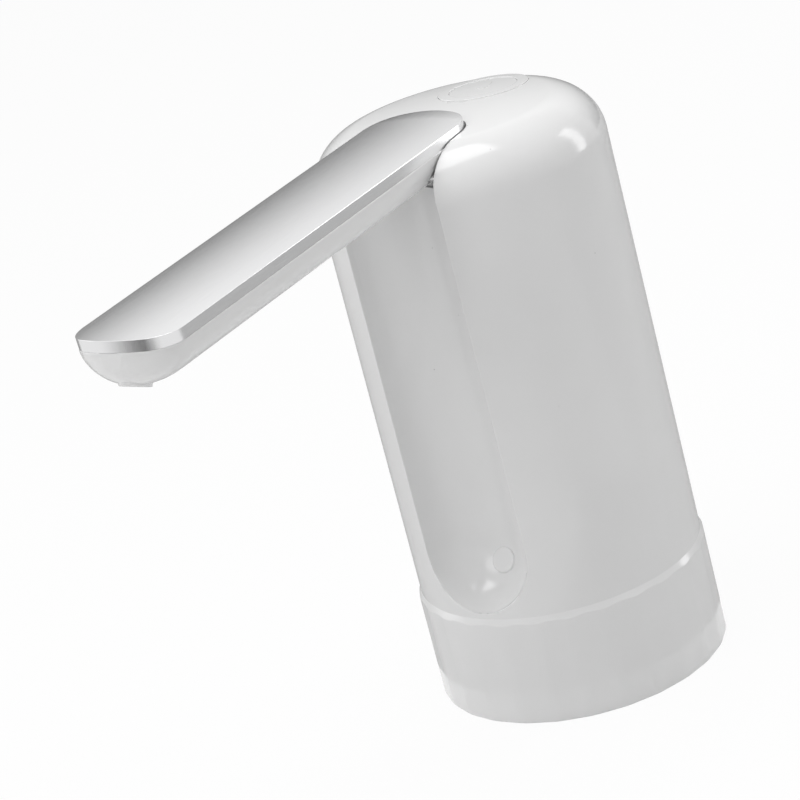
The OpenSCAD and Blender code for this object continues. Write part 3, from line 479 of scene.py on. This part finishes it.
def on_rim(p):
    """Tells whether a point lies on the outside, above the seat."""
    return abs(skin_gap(p)) < 0.08 * mm and p.z > seat_z + 0.1 * mm


def on_front(p):
    """Tells whether a point lies on the outside of the front half."""
    return on_rim(p) and p.y < 0


housing = dome("housing", 0, below)
combine(housing, capsule("groove", groove_r))
combine(housing, slab("slot", over_hinge(spout_outline(slot_gap)), slot_z, above))
rear_y = groove_r + wall - groove_y - hinge.y
rear = [(x, y + spout_tail - end_r) for x, y in spout_end(slot_gap)]
rear += [(-spout_half - slot_gap, rear_y), (spout_half + slot_gap, rear_y)]
combine(housing, slab("slot_rear", over_hinge(rear), slot_wall_z - mm, slot_z + mm))
combine(housing, round_bar("bezel_seat", bezel_r + bezel_fit, bezel_z, above, (0, button_y)))
combine(housing, round_bar("button_hole", button_hole_r, button_boss_z - mm, above, (0, button_y)))
cavity = dome("cavity", wall, below - mm)
combine(cavity, capsule("groove_wall", groove_r + wall))
combine(cavity, slab("slot_wall", over_hinge(spout_outline(slot_gap + wall)), slot_wall_z, above))
combine(cavity, round_bar("button_boss", button_boss_r, button_boss_z, above, (0, button_y)))
combine(housing, cavity)
edit(housing)
bpy.ops.mesh.select_all(action="SELECT")
bpy.ops.mesh.bisect(plane_co=(0, 0, seat_z), plane_no=(0, 0, -1), clear_outer=True, use_fill=True)
bpy.ops.object.mode_set(mode="OBJECT")
port_end = arc((port_wide / 2 - port_high / 2, 0), port_high / 2, -90, 90, 12)
port = slab("port", port_end + [(-x, -y) for x, y in port_end], -body_r - mm, mm - body_r + wall)
set_down(port, 90, (0, 0, port_z))
combine(housing, port)
tidy_rim(housing, lambda p: on_front(p) and p.z < groove_z + mm, rim_merge)
round_edges(housing, lambda p: on_front(p) and p.z < slot_z, rim_round, 4)
round_edges(housing, lambda p: on_front(p) and p.z > slot_z, slot_round, 3)
round_edges(housing, lambda p: on_rim(p) and p.y > 0, rear_round, 2)
smooth(housing)
housing.data.materials.append(white_gloss)
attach(housing, "body")
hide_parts("main_housing")

# Groove pad: the small round rest at the lower end of the groove that stops the folded spout.
# A moulded disc with a rounded edge, pushed into the groove's wall by its stem.
pad_r = 3.3 * mm
pad_face = groove_r - 0.7 * mm
pad_back = groove_r + 0.3 * mm
pad_tilt = 28
pad_round = 0.6 * mm
pad_line = [(0, pad_face)] + arc((pad_r - pad_round, pad_face + pad_round), pad_round, -90, 0, 6)
pad = turned("groove_rest", pad_line + [(pad_r, pad_back), (0, pad_back)], 48)
set_down(pad, -90 - pad_tilt, (0, -groove_y, groove_z))
smooth(pad)
pad.data.materials.append(white_gloss)
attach(pad, "body")
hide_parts("groove_pad")

# Button bezel: a thin white ring set into the dome, standing a little proud of it.
# Moulded, with both upper edges rounded, and pressed into its seat.
button_r = 8.25 * mm
bezel_bore = button_r + 0.06 * mm
bezel_proud = 0.16 * mm
bezel_round = 0.14 * mm
cap_depth = 10 * mm


def crown_cap(name, rise):
    """The crown of the dome as a thick round cap over the button, raised a little."""
    radius = crown_r + rise
    reach = math.degrees(math.asin((bezel_r + 2 * mm) / radius))
    line = arc((0, 0), radius, 90, 90 - reach, 6)
    line[0] = (0, radius)
    line += [(line[-1][0], radius - cap_depth), (0, radius - cap_depth)]
    cap = turned(name, line, bar_steps)
    set_down(cap, -math.degrees(math.asin(button_y / crown_r)), (0, 0, crown_z))
    return cap


bezel = round_bar("bezel", bezel_r, bezel_z, above, (0, button_y))
combine(bezel, round_bar("bezel_hole", bezel_bore, bezel_z - mm, above + mm, (0, button_y)))
combine(bezel, crown_cap("bezel_top", bezel_proud), "INTERSECT")
round_edges(bezel, lambda p: p.z > bezel_z + mm, bezel_round, 3)
smooth(bezel)
bezel.data.materials.append(white_gloss)
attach(bezel, "body")
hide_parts("button_bezel")

# Power button: a round white cap in the bezel, with a flange that keeps it in and a stem below.
# Moulded in one with a plain raised drop in its middle. It slides down onto the switch.
flange_z = 140.6 * mm
flange_top = flange_z + 1.2 * mm
flange_low = flange_z - 0.1 * mm
button_round = 0.12 * mm
stem_r = 2 * mm
drop_r = 1.7 * mm
drop_tip = 4.1 * mm
drop_raise = 0.12 * mm
button = round_bar("button", button_r, flange_z, above, (0, button_y))
combine(button, crown_cap("button_top", 0), "INTERSECT")
round_edges(button, lambda p: p.z > flange_z + mm, button_round, 3)
lean = math.degrees(math.acos(drop_r / drop_tip))
drop = arc((0, button_y), drop_r, 90 + lean, 450 - lean, 24) + [(0, button_y + drop_tip)]
mark = slab("mark", drop, body_top - 3 * mm, above)
combine(mark, crown_cap("mark_top", drop_raise), "INTERSECT")
combine(button, mark, "UNION")
stem_line = [(0, button_low.z), (stem_r, button_low.z), (stem_r, flange_low)]
stem_line += [(button_flange_r, flange_low), (button_flange_r, flange_top), (0, flange_top)]
combine(button, turned("stem", stem_line, 64, (0, button_y)), "UNION")
smooth(button)
button.data.materials.append(white_gloss)
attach(button, "button")
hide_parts("power_button")

# Spout cover: the satin metal top of the spout, slightly crowned, with a plain rim all round.
# Pressed from sheet and brushed lengthwise, with a polished chamfer along the upper edge.
droop = 1.95
cover_edge = 7.55 * mm
cover_low = cover_edge - 2.72 * mm
cover_sag = 1.0 * mm
cover_rim = 1.0 * mm
cover_plate = 0.6 * mm
cover_round = 0.1 * mm
crown_strips = 18
dip_start = 13 * mm
dip_end = 0.3 * mm
dip_strips = 5


def bowed(p):
    """How far the cover rises at a point: bowed across its width, and dipping at the tail."""
    past = max(0, p.y - dip_start) / (spout_tail - dip_start)
    return cover_sag * (1 - (p.x / spout_half) ** 2) - dip_end * past ** 2


def split(piece, count, low, high, axis):
    """Cuts a piece into strips along one axis, to give it points to bow by."""
    edit(piece)
    for i in range(1, count):
        bpy.ops.mesh.select_all(action="SELECT")
        place = Vector(axis) * (low + (high - low) * i / count)
        bpy.ops.mesh.bisect(plane_co=place, plane_no=axis)
    bpy.ops.object.mode_set(mode="OBJECT")


cover = slab("cover", spout_outline(0), cover_low, cover_edge)
split(cover, crown_strips, -spout_half, spout_half, (1, 0, 0))
split(cover, dip_strips, dip_start, spout_tail, (0, 1, 0))
hollow_top = cover_edge - cover_plate
combine(cover, slab("cover_hollow", spout_outline(-cover_rim), cover_low - mm, hollow_top))
for vertex in cover.data.vertices:
    if vertex.co.y < 0 or vertex.co.z > cover_low + 0.01 * mm:
        vertex.co.z += bowed(vertex.co)
polish_dark, polish_light = (0.8, 0.8, 0.805), (0.83, 0.83, 0.835)
cover.data.materials.append(spout_metal)
cover.data.materials.append(drawn_metal("polished edge", polish_dark, polish_light, 0.18, along_y))
round_edges(cover, lambda p: p.z - bowed(p) > cover_edge - 0.05 * mm, cover_round, 2, material=1)
smooth(cover)
set_down(cover, droop, hinge)
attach(cover, "spout")
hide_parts("spout_cover")

# Spout shell: the white lower half of the spout, a boat-shaped trough that closes at the tip.
# Injection-moulded. The cover's rim stands on its upper edge, and the knuckle fills its open end.
shell_depth = 9.5 * mm
shell_wall = 1.4 * mm
shell_start = 1.6 * mm
cheek_back = -5 * mm
cheek_left = -13 * mm
cheek_right = 7 * mm
cheek_room = 20 * mm
ledge = 0.1 * mm
shell_round = 0.25 * mm
pin_hole_r = 1.5 * mm
elbow_left = -12.9 * mm
elbow_right = -6.2 * mm
elbow_room = 5.9 * mm
bow_len = 12.5 * mm
bow_power = 2.8
tip_flat = 0.15 * mm
shell_stations = 36
shell_sides = 40
nozzle_place = (0, 4.52 * mm - spout_reach, -4 * mm)
nozzle_tilt = pad_tilt
nozzle_r = 3.6 * mm
flare_r = 4.9 * mm
nozzle_step = 0.5 * mm
nozzle_flange = 2.4 * mm
nozzle_h = 7 * mm


def half_width(u, grow):
    """Half width of the spout at a distance from the hinge."""
    corner_u = spout_reach - end_r + corner_y
    arc_u = spout_reach - end_r
    if u <= corner_u:
        return spout_half + grow
    if u < arc_u + (end_r + grow) * math.cos(math.radians(end_angle)):
        return corner_x + math.sqrt((corner_r + grow) ** 2 - (u - corner_u) ** 2)
    return math.sqrt((end_r + grow) ** 2 - (u - arc_u) ** 2)


def shell_drop(u, grow):
    """Depth of the shell at a distance from the hinge, which runs out at the tip."""
    run = min(1, (spout_reach + grow - u) / (bow_len + grow))
    return (shell_depth + grow) * (1 - (1 - run) ** bow_power) ** (1 / bow_power)


def edge_rise(u, grow):
    """How far the shell's upper edge rises at the tip, to follow the bowed cover."""
    return cover_sag * (1 - min(1, half_width(u, grow) / spout_half) ** 2)


def trough(name, start, grow, lift):
    """A solid drawn out along the spout from one half-round section, scaled at each station."""
    end = spout_reach + grow - tip_flat
    shares = [(1 - i / shell_stations) ** 1.8 for i in range(shell_stations + 1)]
    stations = [end - (end - start) * share for share in shares]
    w, d = half_width(start, grow), shell_drop(start, grow)
    line = [(x * w, -start, cover_low + z * d) for x, z in arc((0, 0), 1, 0, -180, shell_sides)]
    if lift:
        line = [(w, -start, cover_low + lift)] + line + [(-w, -start, cover_low + lift)]
    piece = draw_line(name, line)
    bpy.ops.mesh.edge_face_add()
    for here, there in zip(stations, stations[1:]):
        up = edge_rise(there, grow) - edge_rise(here, grow)
        bpy.ops.mesh.extrude_region_move(TRANSFORM_OT_translate={"value": (0, here - there, up)})
        wide = half_width(there, grow) / half_width(here, grow)
        depth_here = shell_drop(here, grow) + edge_rise(here, grow)
        deep = (shell_drop(there, grow) + edge_rise(there, grow)) / depth_here
        middle = (0, -there, cover_low + edge_rise(there, grow))
        bpy.ops.transform.resize(value=(wide, 1, deep), center_override=middle)
    close_mesh()
    return piece


def on_upper_edge(p):
    """Tells whether a point lies along the shell's upper edge, in front of its open end."""
    return p.y < -cheek_back - 0.1 * mm and p.z > cover_low - 0.01 * mm


shell = trough("shell", cheek_back, ledge, 0)
round_edges(shell, on_upper_edge, shell_round, 3, least=40)
combine(shell, trough("shell_hollow", cheek_back - mm, ledge - shell_wall, 2 * mm))
room = [(cheek_left, -shell_start), (cheek_right, -shell_start)]
room += [(cheek_right, cheek_room), (cheek_left, cheek_room)]
combine(shell, slab("hinge_room", room, -2 * shell_depth, cover_edge))
room = [(elbow_left, -elbow_room), (elbow_right, -elbow_room), (elbow_right, 0), (elbow_left, 0)]
combine(shell, slab("elbow_room", room, -2 * shell_depth, cover_low - mm))
pin_hole = round_bar("pin_hole", pin_hole_r, -20 * mm, 20 * mm)
bpy.ops.object.select_all(action="DESELECT")
pin_hole.select_set(True)
pin_hole.rotation_euler.y = math.pi / 2
bpy.ops.object.transform_apply(location=True, rotation=True, scale=True)
combine(shell, pin_hole)
flare = arc((flare_r, nozzle_step), flare_r - nozzle_r, 180, 90, 8)
flare += [(flare_r, nozzle_flange), (nozzle_r, nozzle_flange), (nozzle_r, nozzle_h), (0, nozzle_h)]
seat = turned("nozzle_seat", [(0, -mm), (nozzle_r, -mm)] + flare, 48)
set_down(seat, -nozzle_tilt, nozzle_place)
combine(shell, seat)
smooth(shell, 40)
set_down(shell, droop, hinge)
shell.data.materials.append(white_gloss)
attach(shell, "spout")
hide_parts("spout_shell")

# Spout knuckle: the moulded hinge lug that fills the shell's open end, with a plate under the tail.
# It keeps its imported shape, trimmed to the line of the shell so that both run on in one surface.
knuckle = bpy.data.objects.new("knuckle", frame["nodes"]["spout_knuckle"].data.copy())
bpy.context.scene.collection.objects.link(knuckle)
edit(knuckle)
close_mesh()
skin = trough("shell_skin", -spout_tail - mm, ledge, 0)
set_down(skin, droop, hinge)
combine(knuckle, skin, "INTERSECT")
smooth(knuckle)
knuckle.data.materials.append(white_plain)
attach(knuckle, "spout")
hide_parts("spout_knuckle")

# Spout nozzle: the short outlet under the tip, tilted so that it folds flat onto the groove's pad.
# A moulded ring with a rounded lip and a flare that runs out into the shell, set into a seat there.
nozzle_bore = 2.2 * mm
lip_round = 0.3 * mm
lip = [(0, nozzle_h - mm), (nozzle_bore, nozzle_h - mm)]
lip += arc((nozzle_bore + lip_round, lip_round), lip_round, 180, 270, 4)
lip += arc((nozzle_r - lip_round, lip_round), lip_round, -90, 0, 4)
nozzle = turned("nozzle", lip + flare, 48)
set_down(nozzle, -nozzle_tilt, nozzle_place)
set_down(nozzle, droop, hinge)
smooth(nozzle)
nozzle.data.materials.append(white_gloss)
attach(nozzle, "spout")
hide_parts("spout_nozzle")

# Camera: at the photograph's viewing angle, a long way off with a long lens.
# It is rolled to one side, so that the upright part leans in the picture as it does there.
camera_place = (0.4398, -0.5843, 0.33719)
camera_heading = 39.19
camera_pitch = 19.57
camera_roll = -14.83
camera_data = bpy.data.cameras.new("camera")
camera_data.sensor_width = 36
camera_data.lens = 144.48
camera_data.clip_start = 0.01
camera = bpy.data.objects.new("camera", camera_data)
bpy.context.scene.collection.objects.link(camera)
heading = Matrix.Rotation(math.radians(camera_heading), 4, "Z")
pitch = Matrix.Rotation(math.radians(90 - camera_pitch), 4, "X")
roll = Matrix.Rotation(math.radians(camera_roll), 4, "Z")
camera.matrix_world = Matrix.Translation(camera_place) @ heading @ pitch @ roll
bpy.context.scene.camera = camera
bpy.context.scene.view_settings.view_transform = "Standard"

# Studio: an even pale room with a white floor, four soft boxes, and cards seen in reflections alone; the low card
# behind the part is painted shade of the floor.
# The room and floor look white to the lens and in reflections, and light the part more softly.


def seen_directly(tree):
    """One for rays from the lens, from a reflection or through glass, and zero for the rest."""
    path = tree.nodes.new("ShaderNodeLightPath")
    first = tree.nodes.new("ShaderNodeMath")
    first.operation = "MAXIMUM"
    tree.links.new(path.outputs["Is Camera Ray"], first.inputs[0])
    tree.links.new(path.outputs["Is Glossy Ray"], first.inputs[1])
    second = tree.nodes.new("ShaderNodeMath")
    second.operation = "MAXIMUM"
    tree.links.new(first.outputs["Value"], second.inputs[0])
    tree.links.new(path.outputs["Is Transmission Ray"], second.inputs[1])
    return second.outputs["Value"]


room_light = 0.455
world = bpy.data.worlds.new("studio")
bpy.context.scene.world = world
world.use_nodes = True
tree = world.node_tree
mix = tree.nodes.new("ShaderNodeMix")
mix.data_type = "RGBA"
mix.inputs["A"].default_value = (room_light, room_light, room_light, 1)
mix.inputs["B"].default_value = (1, 1, 1, 1)
tree.links.new(seen_directly(tree), mix.inputs["Factor"])
tree.links.new(mix.outputs["Result"], tree.nodes["Background"].inputs["Color"])

floor_share = 0.94
bpy.ops.object.select_all(action="DESELECT")
bpy.ops.mesh.primitive_plane_add(size=6)
floor = bpy.context.object
floor.name = "floor"
floor_white = bpy.data.materials.new("studio floor")
floor_white.use_nodes = True
tree = floor_white.node_tree
tree.nodes.remove(tree.nodes["Principled BSDF"])
paint = tree.nodes.new("ShaderNodeBsdfDiffuse")
paint.inputs["Color"].default_value = (0.85, 0.85, 0.85, 1)
glow = tree.nodes.new("ShaderNodeEmission")
share = tree.nodes.new("ShaderNodeMath")
share.operation = "MULTIPLY"
share.inputs[1].default_value = floor_share
blend = tree.nodes.new("ShaderNodeMixShader")
tree.links.new(seen_directly(tree), share.inputs[0])
tree.links.new(share.outputs["Value"], blend.inputs["Fac"])
tree.links.new(paint.outputs["BSDF"], blend.inputs[1])
tree.links.new(glow.outputs["Emission"], blend.inputs[2])
tree.links.new(blend.outputs["Shader"], tree.nodes["Material Output"].inputs["Surface"])
floor.data.materials.append(floor_white)


def soft_box(name, place, aim, size, power):
    """A rectangular soft light at a place, turned towards a point."""
    data = bpy.data.lights.new(name, "AREA")
    data.shape = "RECTANGLE"
    data.size, data.size_y = size
    data.energy = power
    box = bpy.data.objects.new(name, data)
    turn = (Vector(aim) - Vector(place)).to_track_quat("-Z", "Y").to_matrix().to_4x4()
    box.matrix_world = Matrix.Translation(place) @ turn
    bpy.context.scene.collection.objects.link(box)


soft_box("overhead", (-0.05, -0.1, 0.85), (0, 0, 0.1), (0.45, 0.6), 3.2)
soft_box("front", (-0.2, -0.85, 0.65), (0, 0, 0.1), (0.5, 0.5), 1.7)
soft_box("left", (-0.9, -0.4, 0.3), (0, 0, 0.08), (0.4, 0.6), 0.7)
soft_box("right", (0.65, 0.75, 0.3), (0, 0, 0.1), (0.2, 0.8), 2)


def reflection_card(name, place, aim, size, axis, start, reach, low, high):
    """A card that only reflections show, with its glow changing outwards from a line on it."""
    bpy.ops.object.select_all(action="DESELECT")
    bpy.ops.mesh.primitive_plane_add(size=1)
    card = bpy.context.object
    card.name = name
    turn = (Vector(aim) - Vector(place)).to_track_quat("Z", "Y").to_matrix().to_4x4()
    card.matrix_world = Matrix.Translation(place) @ turn @ Matrix.Diagonal((*size, 1, 1))
    card.visible_camera = False
    card.visible_diffuse = False
    card.visible_shadow = False
    material = bpy.data.materials.new(name)
    material.use_nodes = True
    tree = material.node_tree
    tree.nodes.remove(tree.nodes["Principled BSDF"])
    place = tree.nodes.new("ShaderNodeTexCoord")
    parts = tree.nodes.new("ShaderNodeSeparateXYZ")
    away = tree.nodes.new("ShaderNodeMath")
    away.operation = "SUBTRACT"
    away.inputs[1].default_value = start
    either = tree.nodes.new("ShaderNodeMath")
    either.operation = "ABSOLUTE"
    rise = tree.nodes.new("ShaderNodeMapRange")
    rise.interpolation_type = "SMOOTHSTEP"
    rise.inputs["From Max"].default_value = reach
    rise.inputs["To Min"].default_value = low
    rise.inputs["To Max"].default_value = high
    glow = tree.nodes.new("ShaderNodeEmission")
    tree.links.new(place.outputs["Object"], parts.inputs["Vector"])
    tree.links.new(parts.outputs[axis], away.inputs[0])
    tree.links.new(away.outputs["Value"], either.inputs[0])
    tree.links.new(either.outputs["Value"], rise.inputs["Value"])
    tree.links.new(rise.outputs["Result"], glow.inputs["Strength"])
    tree.links.new(glow.outputs["Emission"], tree.nodes["Material Output"].inputs["Surface"])
    card.data.materials.append(material)


reflection_card(
    "backdrop card", (-0.62, 0.8, 0.475), (0, 0, 0.475), (2.4, 0.95), "Y", -0.5, 1, 0, 1.2
)
reflection_card(
    "front card", (0.03, -0.6, 0.01), (0.03, -0.6, 1), (0.75, 0.5), "X", 0, 0.5, 0.2, 1
)
# Painted shade: a dim sheet just above the floor, behind the part and under it. In reflections it stands in for
# the floor's shade and the part's own shadow, which the white-glowing floor does not show.
reflection_card(
    "floor shade card", (-0.45, 0.5, 0.008), (-0.45, 0.5, 1), (1.2, 1.15), "X", 0, 0.5, 0.4, 0.45
)
reflection_card(
    "side card", (0.35, 0.42, 0.01), (0.35, 0.42, 1), (0.5, 0.7), "X", 0, 0.5, 0.5, 0.55
)
